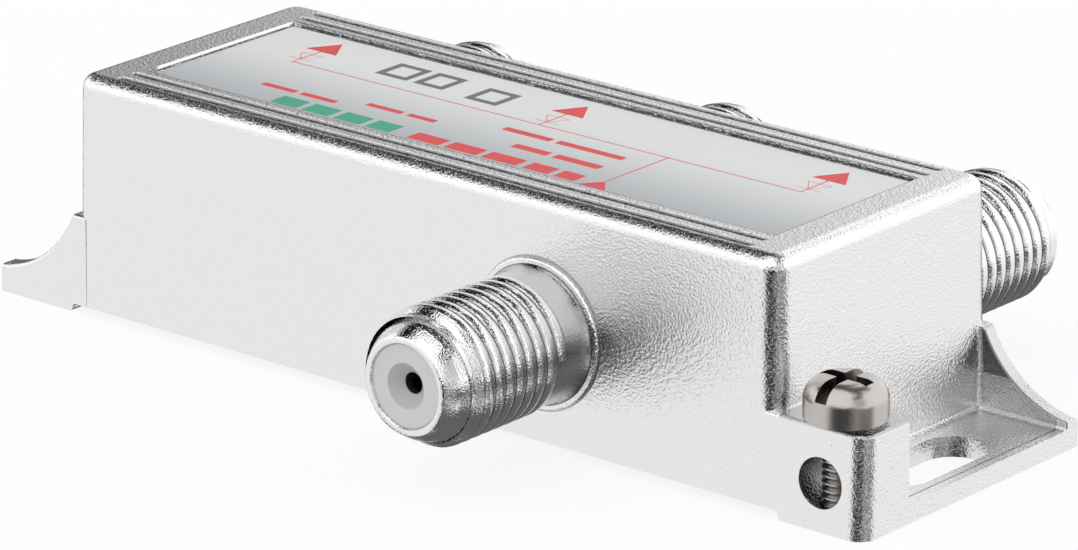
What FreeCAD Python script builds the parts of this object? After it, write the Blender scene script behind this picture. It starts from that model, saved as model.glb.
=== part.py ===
import FreeCAD, Part
import math
import os

# A three-way coaxial splitter in a die-cast housing.
# Millimetres. +X runs along the length to the end with the earth block, +Y goes from the
# input side to the output side and +Z points up. The origin is on the foot plane, under
# the middle of the housing.

V = FreeCAD.Vector

# Housing casting
DEPTH = 23.5                 # front to back at the foot plane
HEIGHT = 17.55               # foot plane to top face
OUTPUT_TO_END = 8.3          # outer output to the box's end, at the foot plane
DRAFT_DEG = 1.0              # lean of the front, back and end faces
CORNER_R = 1.4               # upright edges of the box
TOP_R = 1.0                  # rounding round the top face
WALL = 2.2                   # side walls, at the foot plane
END_WALL = 2.4
ROOF = 2.2
CAVITY_CORNER_R = 1.0
FOOT_STEP = 0.6              # the underside lies this much above the feet
FOOT_STEP_RUN = 0.65         # length of the curved step
FOOT_EDGE_IN = 0.5           # the feet end this far outside the box ends

# Ears with their side walls
EAR_REACH = 7.1              # box end to the ear's end
EAR_FLOOR = 1.45
SHOULDER_Z = 7.2             # top of the side walls and of the earth block
SHOULDER_LEDGE = 0.25        # flat step where a side wall leaves the box
SIDE_WALL = 1.4
SIDE_ARC_R = 8.75            # hollow curve of the side walls
SIDE_TOE_Z = 2.0             # height of the side walls at the ear's end
POCKET_R = 0.4               # rounding inside the ear pockets
SLOT_WIDTH = 4.6
SLOT_LENGTH = 10.6
SLOT_FROM_END = 3.7          # slot centre to the ear's end

# Earth block and its screw
BLOCK_DEPTH = 4.85
BLOCK_CORNER_R = 1.3
BLOCK_EDGE_R = 0.25          # outer top edges of the block and of the side walls
WIRE_HOLE_R = 1.75
WIRE_HOLE_FROM_END = 3.55
WIRE_HOLE_Z = 3.35
SCREW_R = 1.5
SCREW_CLEARANCE = 0.05
SCREW_FROM_END = 3.0
SCREW_FROM_FRONT = 1.95
SCREW_GAP = 0.35             # head above the block with the screw as fitted
SCREW_TIP_Z = 0.05
SCREW_TIP_CHAMFER = 0.3
HEAD_R = 2.8
HEAD_SIDE = 1.35             # straight part of the head
HEAD_HEIGHT = 2.7
HEAD_TOP_R = 1.2             # flat on the crown
HEAD_SLOT_WIDTH = 0.9
HEAD_SLOT_DEPTH = 1.1
HEAD_CROSS_R = 1.88
HEAD_CROSS_DEPTH = 1.5

# Top face: label recess and the two grooves on each side of it
RECESS_FROM_END = 3.5        # recess to the box's end, at the foot plane
RECESS_DEPTH = 15.4
RECESS_SINK = 0.4
RECESS_CORNER_R = 0.3
RECESS_KEY = 1.25            # bevelled corner that shows which way round the label goes
LABEL_MARGIN = 0.3
LABEL_THICKNESS = 0.15
GROOVE_PAST_RECESS = 0.25    # at both ends
GROOVE_R = 0.38
GROOVE_SINK = 0.3
GROOVE_FROM_RECESS = 1.0     # recess edge to the inner groove's middle
GROOVE_PITCH = 1.35

# Bottom cover
COVER_THICKNESS = 1.0
COVER_REBATE = 0.9
COVER_CLEARANCE = 0.05

# Coaxial sockets
INPUT_FROM_MID = 10.8        # middle output to the input, along X
OUTPUT_MID_X = 0.4
OUTPUT_PITCH = 23.0
OUTPUTS = 3
INPUT_Z = 8.1
OUTPUT_Z = 8.8
THREAD_R = 4.7625            # 3/8 inch thread, outside
SOCKET_OUT = 13.3            # nose face to the housing's side, at the foot plane
BOSS_WALL = 0.4              # ring of the casting round a socket
BOSS_HEIGHT = 0.42
BOSS_EDGE_R = 0.2
NECK_STEP = 0.1              # flared foot of the neck over the thread's radius
NECK_SINK = 0.16             # neck under the thread's radius
NECK_END = 2.0               # boss ring to the first turn
NECK_FLARE = 0.7             # length of the flare at the boss ring
NOSE_STEP = 1.39             # nose face's edge under the thread's radius
NOSE_CONE_STEP = 0.8
NOSE_CONE = 1.0
NOSE_SHOULDER_STEP = 0.46
NOSE_SHOULDER = 1.95
THREAD_FROM_NOSE = 2.7
PRESS_STEP = 0.66            # part held in the wall under the thread's radius
NOSE_RIM = 0.5225            # bore to the nose face's edge
PORT_CLEARANCE = 0.02        # radial play of what is pressed into the sockets

# Insulators and spring contacts inside the sockets
INSULATOR_SINK = 0.15
INSULATOR_FRONT = 4.85
FUNNEL_R = 1.56
FUNNEL_DEPTH = 0.85
PIN_HOLE_R = 0.7
CONTACT_R = 1.2
CONTACT_BORE_R = 0.75
CONTACT_START = 1.6          # nose face to the contact's mouth
CONTACT_LENGTH = 7.4
CONTACT_SLIT = 0.3
CONTACT_SLIT_LENGTH = 4.5
CONTACT_PLAY = 0.1
TAIL_R = 0.4
TAIL_FROM_WALL = 1.7         # drop of the tail to the cavity's side
TAIL_BEND_R = 0.9
TAIL_BELOW_BOARD = 0.7

# Circuit board
BOARD_ABOVE_COVER = 3.4
BOARD_THICKNESS = 1.0
BOARD_MARGIN = 0.4           # gap to the cavity walls
BOARD_HOLE_PLAY = 0.1
POST_R = 1.5
POST_INSET = 2.2             # post to the cavity's end wall
SPIGOT_R = 0.6
SPIGOT_LENGTH = 1.4

# Parts on the board
CORE_SIZE = (5.0, 3.6, 2.8)
CORE_HOLE_R = 0.6
CORE_HOLE_PITCH = 2.4
WINDING_R = 0.4
CHIP_SIZE = (1.6, 3.2, 1.2)
CHIP_END = 0.5
CHIP_CAP = 0.05              # the end caps stand out by this much
RESISTOR_HEIGHT = 0.6
DIODE_SIZE = (4.4, 2.6, 2.1)
DIODE_LEAD = (0.5, 1.4, 0.3)
CHOKE_R = 1.4
CHOKE_CORE_R = 0.8
CHOKE_LENGTH = 3.6
CHOKE_FLANGE = 0.6
CHIP_FROM_TAIL = 2.3         # chip middle to the tail beside it
# Places under the board: the middle between two ports and a step from it along X, then the side of the
# cavity and the distance from it
FRONT, BACK = -1, 1
CORE_PLACES = (("input", "input", 0.0, FRONT, 9.3), ("input", "output_3", 0.0, BACK, 6.15),
               ("output_2", "output_2", -6.9, BACK, 6.25))
RESISTOR_PLACES = (("output_2", "output_2", 5.8, BACK, 6.35), ("output_1", "output_2", -2.4, BACK, 7.35))
CHOKE_PLACES = (("input", "input", 3.8, FRONT, 3.95), ("output_1", "output_1", 5.1, FRONT, 5.05),
                ("output_2", "output_2", -2.2, FRONT, 4.05), ("output_3", "output_3", -0.6, FRONT, 4.35))
DIODE_Y = 0.2

# Worked out from the sizes above
LEAN = math.tan(math.radians(DRAFT_DEG))
HALF_DEPTH = DEPTH / 2
HALF_BODY = (OUTPUTS - 1) * OUTPUT_PITCH / 2 + OUTPUT_TO_END
HALF_LENGTH = HALF_BODY + EAR_REACH
LENGTH = 2 * HALF_LENGTH
RECESS_LENGTH = 2 * (HALF_BODY - RECESS_FROM_END)
GROOVE_LENGTH = RECESS_LENGTH + 2 * GROOVE_PAST_RECESS
SOCKET_REACH = HALF_DEPTH + SOCKET_OUT
NECK_R = THREAD_R + NECK_STEP
BOSS_R = NECK_R + PORT_CLEARANCE + BOSS_WALL
BORE_R = THREAD_R - NOSE_STEP - NOSE_RIM
CAVITY_X = HALF_BODY - END_WALL
CAVITY_Y = HALF_DEPTH - WALL
TAIL_REACH = CAVITY_Y - TAIL_FROM_WALL
CAVITY_TOP = HEIGHT - ROOF
COVER_TOP = FOOT_STEP + COVER_THICKNESS
BOARD_BOTTOM_Z = COVER_TOP + BOARD_ABOVE_COVER
BOARD_TOP_Z = BOARD_BOTTOM_Z + BOARD_THICKNESS
SLOT_X = HALF_LENGTH - SLOT_FROM_END
SCREW_X = HALF_LENGTH - SCREW_FROM_END
SCREW_Y = SCREW_FROM_FRONT - HALF_DEPTH
WIRE_HOLE_X = HALF_LENGTH - WIRE_HOLE_FROM_END
RECESS_FLOOR_Z = HEIGHT - RECESS_SINK
OUTPUT_XS = [OUTPUT_MID_X + OUTPUT_PITCH * (i - (OUTPUTS - 1) / 2) for i in range(OUTPUTS)]
# name, place along X, height, side of the housing
PORTS = [("input", OUTPUT_MID_X + INPUT_FROM_MID, INPUT_Z, FRONT)]
PORTS += [("output_%d" % (i + 1), x, OUTPUT_Z, BACK) for i, x in enumerate(OUTPUT_XS)]
PORT_XS = {name: x for name, x, z, side in PORTS}


def half_depth_at(z):
    """Half the housing's depth at height z, with its draft."""
    return HALF_DEPTH - LEAN * z


def body_end_at(z):
    """Half the box's length at height z, with its draft."""
    return HALF_BODY - LEAN * z


def seat_y(z):
    """Distance from the middle plane to the flat seat of a socket at height z."""
    return half_depth_at(z + BOSS_R)


def leaning_block(x0, x1, y0, y1, z0, z1, lean_x0=0.0, lean_x1=0.0, lean_y0=0.0, lean_y1=0.0):
    """A six-sided block whose sides move in by the four leans per unit of height."""
    rise = z1 - z0
    left, right = x0 + lean_x0 * rise, x1 - lean_x1 * rise
    front, back = y0 + lean_y0 * rise, y1 - lean_y1 * rise
    low = [V(x0, y0, z0), V(x1, y0, z0), V(x1, y1, z0), V(x0, y1, z0)]
    high = [V(left, front, z1), V(right, front, z1), V(right, back, z1), V(left, back, z1)]
    outlines = [Part.makePolygon(loop + loop[:1]) for loop in (low, high)]
    return Part.makeLoft(outlines, True, True)


def box(cx, cy, z0, size):
    """A plain block centred on cx, cy that stands on z0."""
    sx, sy, sz = size
    return Part.makeBox(sx, sy, sz, V(cx - sx / 2, cy - sy / 2, z0))


def edges_where(shape, test):
    """Edges whose two ends and middle all pass a test on a point."""
    found = []
    for edge in shape.Edges:
        middle = edge.valueAt((edge.FirstParameter + edge.LastParameter) / 2)
        if all(test(p) for p in [v.Point for v in edge.Vertexes] + [middle]):
            found.append(edge)
    return found


def rounded_plate(sx, sy, z0, z1, radius, cy=0.0):
    """A flat plate with rounded corners, centred on X = 0 and Y = cy."""
    plate = box(0, cy, z0, (sx, sy, z1 - z0))
    upright = edges_where(plate, lambda p: True)
    upright = [e for e in upright if abs(e.tangentAt(e.FirstParameter).z) > 0.9]
    return plate.makeFillet(radius, upright)


def revolve_y(points):
    """A solid of revolution about the Y axis from points (radius, y)."""
    outline = Part.makePolygon([V(r, y, 0) for r, y in points + points[:1]])
    return Part.Face(outline).revolve(V(0, 0, 0), V(0, 1, 0), 360)


def at_port(shape, x, z, side):
    """Move a shape made on the Y axis, nose at -Y, to its port."""
    moved = shape.copy()
    if side > 0:
        moved.rotate(V(0, 0, 0), V(0, 0, 1), 180)
    moved.translate(V(x, 0, z))
    return moved


def box_casting():
    """The box with its draft, rounded upright edges and rounded top."""
    rise = HEIGHT - FOOT_STEP
    half_x, half_y = body_end_at(FOOT_STEP), half_depth_at(FOOT_STEP)
    block = leaning_block(-half_x, half_x, -half_y, half_y, FOOT_STEP, HEIGHT, LEAN, LEAN, LEAN, LEAN)
    upright = [e for e in block.Edges if e.BoundBox.ZLength > rise / 2]
    block = block.makeFillet(CORNER_R, upright)
    rim = edges_where(block, lambda p: p.z > HEIGHT - 1e-4)
    return block.makeFillet(TOP_R, rim)


def ear_outline():
    """Side view of the +X ear with its hollow side wall, as a face in the XZ plane."""
    inner = HALF_BODY - END_WALL / 2
    foot_x = HALF_BODY + FOOT_EDGE_IN
    step_x = foot_x - FOOT_STEP_RUN
    middle = V((foot_x + step_x) / 2, 0, FOOT_STEP / 2)
    turn = 2 * math.atan2(FOOT_STEP, FOOT_STEP_RUN)
    arc_r = FOOT_STEP_RUN / (2 * math.sin(turn))
    low_mid = V(foot_x - arc_r * math.sin(turn / 2), 0, arc_r * (1 - math.cos(turn / 2)))
    high_mid = V(step_x + arc_r * math.sin(turn / 2), 0, FOOT_STEP - arc_r * (1 - math.cos(turn / 2)))
    ledge_x = body_end_at(SHOULDER_Z) + SHOULDER_LEDGE
    shoulder = V(ledge_x, 0, SHOULDER_Z)
    toe = V(HALF_LENGTH, 0, SIDE_TOE_Z)
    chord = toe.sub(shoulder)
    half_chord = chord.Length / 2
    out = V(-chord.z, 0, chord.x)
    out.normalize()
    if out.z < 0:
        out = out.negative()
    to_centre = math.sqrt(SIDE_ARC_R ** 2 - half_chord ** 2)
    centre = shoulder.add(chord.multiply(0.5)).add(V(out).multiply(to_centre))
    bottom = centre.sub(V(out).multiply(SIDE_ARC_R))
    edges = [
        Part.LineSegment(V(inner, 0, FOOT_STEP), V(step_x, 0, FOOT_STEP)).toShape(),
        Part.Arc(V(step_x, 0, FOOT_STEP), high_mid, middle).toShape(),
        Part.Arc(middle, low_mid, V(foot_x, 0, 0)).toShape(),
        Part.LineSegment(V(foot_x, 0, 0), V(HALF_LENGTH, 0, 0)).toShape(),
        Part.LineSegment(V(HALF_LENGTH, 0, 0), toe).toShape(),
        Part.Arc(toe, bottom, shoulder).toShape(),
        Part.LineSegment(shoulder, V(inner, 0, SHOULDER_Z)).toShape(),
        Part.LineSegment(V(inner, 0, SHOULDER_Z), V(inner, 0, FOOT_STEP)).toShape(),
    ]
    return Part.Face(Part.Wire(edges))


def ear_pocket(y0, y1):
    """What is taken out above the +X ear's floor, between its side walls."""
    far = LENGTH
    end_x = body_end_at(EAR_FLOOR)
    high = HEIGHT
    block = leaning_block(end_x, far, y0, y1, EAR_FLOOR, high, -LEAN, 0, -LEAN, -LEAN)
    inner = [e for e in block.Edges
             if e.BoundBox.XMin < end_x + 1e-4 and e.BoundBox.ZMin < EAR_FLOOR + 1e-4
             or e.BoundBox.ZMax < EAR_FLOOR + 1e-4 and e.BoundBox.XMin < far - 1e-4]
    return block.makeFillet(POCKET_R, inner)


def ear_slot():
    """Screw slot of the +X ear, rounded at both ends."""
    radius = SLOT_WIDTH / 2
    straight = SLOT_LENGTH - SLOT_WIDTH
    tall = 4 * EAR_FLOOR
    slot = box(SLOT_X, 0, -EAR_FLOOR, (SLOT_WIDTH, straight, tall))
    for y in (-straight / 2, straight / 2):
        slot = slot.fuse(Part.makeCylinder(radius, tall, V(SLOT_X, y, -EAR_FLOOR)))
    return slot.removeSplitter()


def side_envelope():
    """Everything between the leaning front and back planes."""
    wide = LENGTH
    return leaning_block(-wide, wide, -HALF_DEPTH, HALF_DEPTH, 0, HEIGHT, 0, 0, LEAN, LEAN)


def soften(ear):
    """Round the upper edges of an ear's outer sides and of its block."""
    start = body_end_at(SHOULDER_Z) + SHOULDER_LEDGE / 2
    outer = edges_where(ear, lambda p: abs(abs(p.y) - half_depth_at(p.z)) < 1e-3 and p.z > SIDE_TOE_Z - 1e-3)
    outer = [e for e in outer if e.BoundBox.XLength > SHOULDER_LEDGE and e.BoundBox.XMax > start]
    top = edges_where(ear, lambda p: p.z > SHOULDER_Z - 1e-3 and p.x > start)
    top = [e for e in top if not any(e.isSame(other) for other in outer)]
    return ear.makeFillet(BLOCK_EDGE_R, outer + top)


def plain_ear():
    """The +X ear with a side wall at the front and one at the back."""
    wide = DEPTH + 2
    outline = ear_outline()
    outline.translate(V(0, -wide / 2, 0))
    ear = outline.extrude(V(0, wide, 0)).common(side_envelope())
    inside = HALF_DEPTH - SIDE_WALL - LEAN * EAR_FLOOR
    return soften(ear).cut(ear_pocket(-inside, inside))


def block_ear():
    """The +X ear with the earth block in place of the front side wall."""
    wide = DEPTH + 2
    outline = ear_outline()
    outline.translate(V(0, -wide / 2, 0))
    ear = outline.extrude(V(0, wide, 0)).common(side_envelope())
    block_back = BLOCK_DEPTH - HALF_DEPTH
    block = leaning_block(HALF_BODY - END_WALL / 2, HALF_LENGTH, -HALF_DEPTH, block_back, 0, SHOULDER_Z,
                          0, 0, LEAN, 0)
    foot_x = HALF_BODY + FOOT_EDGE_IN
    under = Part.makeBox(foot_x, DEPTH, FOOT_STEP, V(0, -HALF_DEPTH, 0))
    block = block.cut(under)
    ear = ear.fuse(block).removeSplitter()
    corner = [e for e in ear.Edges
              if e.BoundBox.ZLength > SHOULDER_Z / 2 and e.BoundBox.XMin > HALF_LENGTH - 1e-3
              and e.BoundBox.YMax < 1e-3 - half_depth_at(SHOULDER_Z)]
    ear = ear.makeFillet(BLOCK_CORNER_R, corner)
    inside = HALF_DEPTH - SIDE_WALL - LEAN * EAR_FLOOR
    return soften(ear).cut(ear_pocket(block_back, inside))


def earth_holes():
    """The wire hole and the screw's hole in the earth block."""
    start = V(WIRE_HOLE_X, -HALF_DEPTH - BLOCK_DEPTH / 2, WIRE_HOLE_Z)
    wire = Part.makeCylinder(WIRE_HOLE_R, 2 * BLOCK_DEPTH, start, V(0, 1, 0))
    low = V(SCREW_X, SCREW_Y, -SHOULDER_Z / 2)
    thread = Part.makeCylinder(SCREW_R + SCREW_CLEARANCE, 2 * SHOULDER_Z, low)
    return wire.fuse(thread)


def keyed(plate, sx, sy, bevel):
    """A plate centred on the origin with its front left corner bevelled."""
    corner = V(-sx / 2, -sy / 2, 0)
    far = 2 * bevel
    loop = [V(-far, -far, 0), V(far, -far, 0), V(bevel, 0, 0), V(0, bevel, 0), V(-far, far, 0)]
    wedge = Part.Face(Part.makePolygon([corner.add(p) for p in loop + loop[:1]])).extrude(V(0, 0, 2 * HEIGHT))
    return plate.cut(wedge)


def groove(y):
    """One half-round groove with rounded ends in the top face."""
    radius = GROOVE_R
    axis_z = HEIGHT + radius - GROOVE_SINK
    run = GROOVE_LENGTH / 2 - radius
    bar = Part.makeCylinder(radius, 2 * run, V(-run, y, axis_z), V(1, 0, 0))
    for x in (-run, run):
        bar = bar.fuse(Part.makeSphere(radius, V(x, y, axis_z)))
    return bar


def top_cuts():
    """Label recess and grooves."""
    recess = rounded_plate(RECESS_LENGTH, RECESS_DEPTH, RECESS_FLOOR_Z, HEIGHT + 1, RECESS_CORNER_R)
    cuts = [keyed(recess, RECESS_LENGTH, RECESS_DEPTH, RECESS_KEY)]
    first = RECESS_DEPTH / 2 + GROOVE_FROM_RECESS
    for y in (first, first + GROOVE_PITCH):
        cuts += [groove(y), groove(-y)]
    return cuts


def post_places():
    """The four posts that carry the circuit board."""
    x = CAVITY_X - POST_INSET
    y = CAVITY_Y - POST_INSET
    return [(sx * x, sy * y) for sx in (-1, 1) for sy in (-1, 1)]


def cavity():
    """The hollow for the board, open downwards, without its posts."""
    room = rounded_plate(2 * CAVITY_X, 2 * CAVITY_Y, 0, CAVITY_TOP, CAVITY_CORNER_R)
    for x, y in post_places():
        post = Part.makeCylinder(POST_R, CAVITY_TOP - BOARD_TOP_Z, V(x, y, BOARD_TOP_Z))
        tip_z = BOARD_TOP_Z - SPIGOT_LENGTH
        spigot = Part.makeCylinder(SPIGOT_R, CAVITY_TOP - tip_z, V(x, y, tip_z))
        room = room.cut(post.fuse(spigot))
    rebate = rounded_plate(2 * (CAVITY_X + COVER_REBATE), 2 * (CAVITY_Y + COVER_REBATE), 0, COVER_TOP,
                           CAVITY_CORNER_R)
    return room.fuse(rebate)


def boss(x, z, side):
    """Ring that stands on the side of the casting round one socket."""
    top = -seat_y(z) - BOSS_HEIGHT
    ring = Part.makeCylinder(BOSS_R, WALL, V(0, top, 0), V(0, 1, 0))
    rim = [e for e in ring.Edges if e.BoundBox.YMax < top + 1e-4]
    return at_port(ring.makeFillet(BOSS_EDGE_R, rim), x, z, side)


def socket_seat(x, z, side):
    """Counterbore and hole for one socket."""
    seat = seat_y(z)
    face = Part.makeCylinder(NECK_R + PORT_CLEARANCE, WALL, V(0, -seat - WALL, 0), V(0, 1, 0))
    hole = Part.makeCylinder(THREAD_R - PRESS_STEP, 2 * WALL, V(0, -seat, 0), V(0, 1, 0))
    return at_port(face.fuse(hole), x, z, side)


def housing():
    """The whole casting, in one piece."""
    left_ear = plain_ear().mirror(V(0, 0, 0), V(1, 0, 0))
    bosses = [boss(x, z, side) for name, x, z, side in PORTS]
    casting = box_casting().fuse([left_ear, block_ear()] + bosses)
    casting = casting.removeSplitter()
    slot = ear_slot()
    cuts = [cavity(), earth_holes(), slot, slot.mirror(V(0, 0, 0), V(1, 0, 0))]
    cuts += top_cuts()
    for name, x, z, side in PORTS:
        cuts.append(socket_seat(x, z, side))
    for cut in cuts:
        casting = casting.cut(cut)
    return casting.removeSplitter()


def bottom_cover():
    """Sheet plate pressed into the rebate of the underside."""
    half_x = CAVITY_X + COVER_REBATE - COVER_CLEARANCE
    half_y = CAVITY_Y + COVER_REBATE - COVER_CLEARANCE
    return rounded_plate(2 * half_x, 2 * half_y, FOOT_STEP, COVER_TOP, CAVITY_CORNER_R)


def label():
    """Foil label on the floor of the recess."""
    sx = RECESS_LENGTH - 2 * LABEL_MARGIN
    sy = RECESS_DEPTH - 2 * LABEL_MARGIN
    foil = rounded_plate(sx, sy, RECESS_FLOOR_Z, RECESS_FLOOR_Z + LABEL_THICKNESS, RECESS_CORNER_R)
    return keyed(foil, sx, sy, RECESS_KEY)


def socket(z):
    """Turned coaxial socket: nose, thread cylinder, neck and the part held in the wall."""
    seat = seat_y(z)
    nose = SOCKET_REACH
    ring = -seat - BOSS_HEIGHT
    press = THREAD_R - PRESS_STEP
    neck = THREAD_R - NECK_SINK
    points = [
        (BORE_R, -nose),
        (THREAD_R - NOSE_STEP, -nose),
        (THREAD_R - NOSE_CONE_STEP, -nose + NOSE_CONE),
        (THREAD_R - NOSE_SHOULDER_STEP, -nose + NOSE_SHOULDER),
        (THREAD_R, -nose + THREAD_FROM_NOSE),
        (THREAD_R, ring - NECK_END),
        (neck, ring - NECK_END),
        (neck, ring - NECK_FLARE),
        (NECK_R, ring),
        (NECK_R, -seat),
        (press, -seat),
        (press, -CAVITY_Y),
        (BORE_R, -CAVITY_Y),
    ]
    return revolve_y(points)


def front_insulator():
    """White bush with a funnel that leads the cable's core into the contact."""
    outer = BORE_R - PORT_CLEARANCE
    face = -SOCKET_REACH + INSULATOR_SINK
    back = face + INSULATOR_FRONT
    mouth = -SOCKET_REACH + CONTACT_START - CONTACT_PLAY
    inner = CONTACT_R + CONTACT_PLAY
    points = [
        (FUNNEL_R, face),
        (outer, face),
        (outer, back),
        (inner, back),
        (inner, mouth),
        (PIN_HOLE_R, mouth),
        (PIN_HOLE_R, face + FUNNEL_DEPTH),
    ]
    return revolve_y(points)


def rear_insulator():
    """Bush that closes the socket behind the contact."""
    outer = BORE_R - PORT_CLEARANCE
    face = -SOCKET_REACH + INSULATOR_SINK + INSULATOR_FRONT
    floor = -SOCKET_REACH + CONTACT_START + CONTACT_LENGTH
    inner = CONTACT_R + CONTACT_PLAY
    tail = TAIL_R + PORT_CLEARANCE
    points = [
        (inner, face),
        (outer, face),
        (outer, -CAVITY_Y),
        (tail, -CAVITY_Y),
        (tail, floor),
        (inner, floor),
    ]
    return revolve_y(points)


def contact(z):
    """Slit spring tube with a wire tail that drops through the board."""
    start = -SOCKET_REACH + CONTACT_START
    wall_end = start + CONTACT_LENGTH
    floor = wall_end - TAIL_R
    tube = revolve_y([(CONTACT_BORE_R, start), (CONTACT_R, start), (CONTACT_R, wall_end),
                      (TAIL_R / 2, wall_end), (TAIL_R / 2, floor), (CONTACT_BORE_R, floor)])
    for size in ((CONTACT_SLIT, 3 * CONTACT_R), (3 * CONTACT_R, CONTACT_SLIT)):
        slit = Part.makeBox(size[0], CONTACT_SLIT_LENGTH, size[1], V(-size[0] / 2, start, -size[1] / 2))
        tube = tube.cut(slit)
    drop = z - BOARD_BOTTOM_Z + TAIL_BELOW_BOARD
    bend = TAIL_BEND_R
    first = V(0, floor, 0)
    corner = V(0, -TAIL_REACH - bend, 0)
    low = V(0, -TAIL_REACH, -bend)
    mid = V(0, corner.y + bend * math.sin(math.pi / 4), -bend * (1 - math.cos(math.pi / 4)))
    path = Part.Wire([Part.LineSegment(first, corner).toShape(), Part.Arc(corner, mid, low).toShape(),
                      Part.LineSegment(low, V(0, -TAIL_REACH, -drop)).toShape()])
    ring = Part.Wire([Part.makeCircle(TAIL_R, first, V(0, 1, 0))])
    tail = path.makePipeShell([ring], True, False)
    return tube.fuse(tail).removeSplitter()


def earth_screw():
    """Pan-head machine screw with a slot and a cross recess, axis along Z."""
    base = SHOULDER_Z + SCREW_GAP
    top = base + HEAD_HEIGHT
    side_top = base + HEAD_SIDE
    bulge = math.pi / 4
    crown_mid = V(HEAD_TOP_R + (HEAD_R - HEAD_TOP_R) * math.sin(bulge), 0,
                  side_top + (HEAD_HEIGHT - HEAD_SIDE) * math.cos(bulge))
    edges = [
        Part.LineSegment(V(0, 0, SCREW_TIP_Z), V(SCREW_R - SCREW_TIP_CHAMFER, 0, SCREW_TIP_Z)).toShape(),
        Part.LineSegment(V(SCREW_R - SCREW_TIP_CHAMFER, 0, SCREW_TIP_Z),
                         V(SCREW_R, 0, SCREW_TIP_Z + SCREW_TIP_CHAMFER)).toShape(),
        Part.LineSegment(V(SCREW_R, 0, SCREW_TIP_Z + SCREW_TIP_CHAMFER), V(SCREW_R, 0, base)).toShape(),
        Part.LineSegment(V(SCREW_R, 0, base), V(HEAD_R, 0, base)).toShape(),
        Part.LineSegment(V(HEAD_R, 0, base), V(HEAD_R, 0, side_top)).toShape(),
        Part.Arc(V(HEAD_R, 0, side_top), crown_mid, V(HEAD_TOP_R, 0, top)).toShape(),
        Part.LineSegment(V(HEAD_TOP_R, 0, top), V(0, 0, top)).toShape(),
        Part.LineSegment(V(0, 0, top), V(0, 0, SCREW_TIP_Z)).toShape(),
    ]
    screw = Part.Face(Part.Wire(edges)).revolve(V(0, 0, 0), V(0, 0, 1), 360)
    slot = box(0, 0, top - HEAD_SLOT_DEPTH, (HEAD_SLOT_WIDTH, 3 * HEAD_R, HEAD_HEIGHT))
    cross = box(0, 0, top - HEAD_CROSS_DEPTH, (2 * HEAD_CROSS_R, HEAD_SLOT_WIDTH, HEAD_HEIGHT))
    screw = screw.cut(slot.fuse(cross))
    screw.translate(V(SCREW_X, SCREW_Y, 0))
    return screw


def circuit_board():
    """Board with holes for the posts' spigots and the contacts' tails."""
    board = box(0, 0, BOARD_BOTTOM_Z,
                (2 * (CAVITY_X - BOARD_MARGIN), 2 * (CAVITY_Y - BOARD_MARGIN), BOARD_THICKNESS))
    for x, y in post_places():
        board = board.cut(Part.makeCylinder(SPIGOT_R + BOARD_HOLE_PLAY, HEIGHT, V(x, y, 0)))
    for name, x, z, side in PORTS:
        board = board.cut(Part.makeCylinder(TAIL_R + BOARD_HOLE_PLAY, HEIGHT, V(x, side * TAIL_REACH, 0)))
    return board


def ferrite_core(x, y):
    """Two-hole ferrite core under the board."""
    sx, sy, sz = CORE_SIZE
    core = box(x, y, BOARD_BOTTOM_Z - sz, CORE_SIZE)
    upright = [e for e in core.Edges if e.BoundBox.YLength > sy / 2]
    core = core.makeFillet(sz / 3, upright)
    for side in (-1, 1):
        start = V(x + side * CORE_HOLE_PITCH / 2, y - sy, BOARD_BOTTOM_Z - sz / 2)
        hole = Part.makeCylinder(CORE_HOLE_R, 2 * sy, start, V(0, 1, 0))
        core = core.cut(hole)
    return core


def winding(x, y):
    """Bundle of wire that runs through both holes of a core."""
    sy, sz = CORE_SIZE[1:]
    half = sy / 2
    radius = CORE_HOLE_PITCH / 2
    z = BOARD_BOTTOM_Z - sz / 2
    a, b = V(x - radius, y - half, z), V(x - radius, y + half, z)
    c, d = V(x + radius, y + half, z), V(x + radius, y - half, z)
    path = Part.Wire([Part.LineSegment(a, b).toShape(), Part.Arc(b, V(x, y + half + radius, z), c).toShape(),
                      Part.LineSegment(c, d).toShape(), Part.Arc(d, V(x, y - half - radius, z), a).toShape()])
    ring = Part.Wire([Part.makeCircle(WINDING_R, a, V(0, 1, 0))])
    return path.makePipeShell([ring], True, False)


def chip(x, y, height, along_x=False):
    """Chip part with raised end caps, hung under the board."""
    sx, sy, sz = CHIP_SIZE
    body = box(0, 0, BOARD_BOTTOM_Z - height + CHIP_CAP, (sx - 2 * CHIP_CAP, sy, height - 2 * CHIP_CAP))
    for side in (-1, 1):
        body = body.fuse(box(0, side * (sy - CHIP_END) / 2, BOARD_BOTTOM_Z - height, (sx, CHIP_END, height)))
    if along_x:
        body.rotate(V(0, 0, 0), V(0, 0, 1), 90)
    body.translate(V(x, y, 0))
    return body.removeSplitter()


def diode(x, y):
    """Moulded diode with a folded lead at each end."""
    sx, sy, sz = DIODE_SIZE
    lx, ly, lz = DIODE_LEAD
    body = box(x, y, BOARD_BOTTOM_Z - sz, (sx, sy, sz - lz / 2))
    for side in (-1, 1):
        body = body.fuse(box(x + side * (sx - lx) / 2, y, BOARD_BOTTOM_Z - sz / 2, (2 * lx, ly, sz / 2)))
    return body.removeSplitter()


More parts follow.
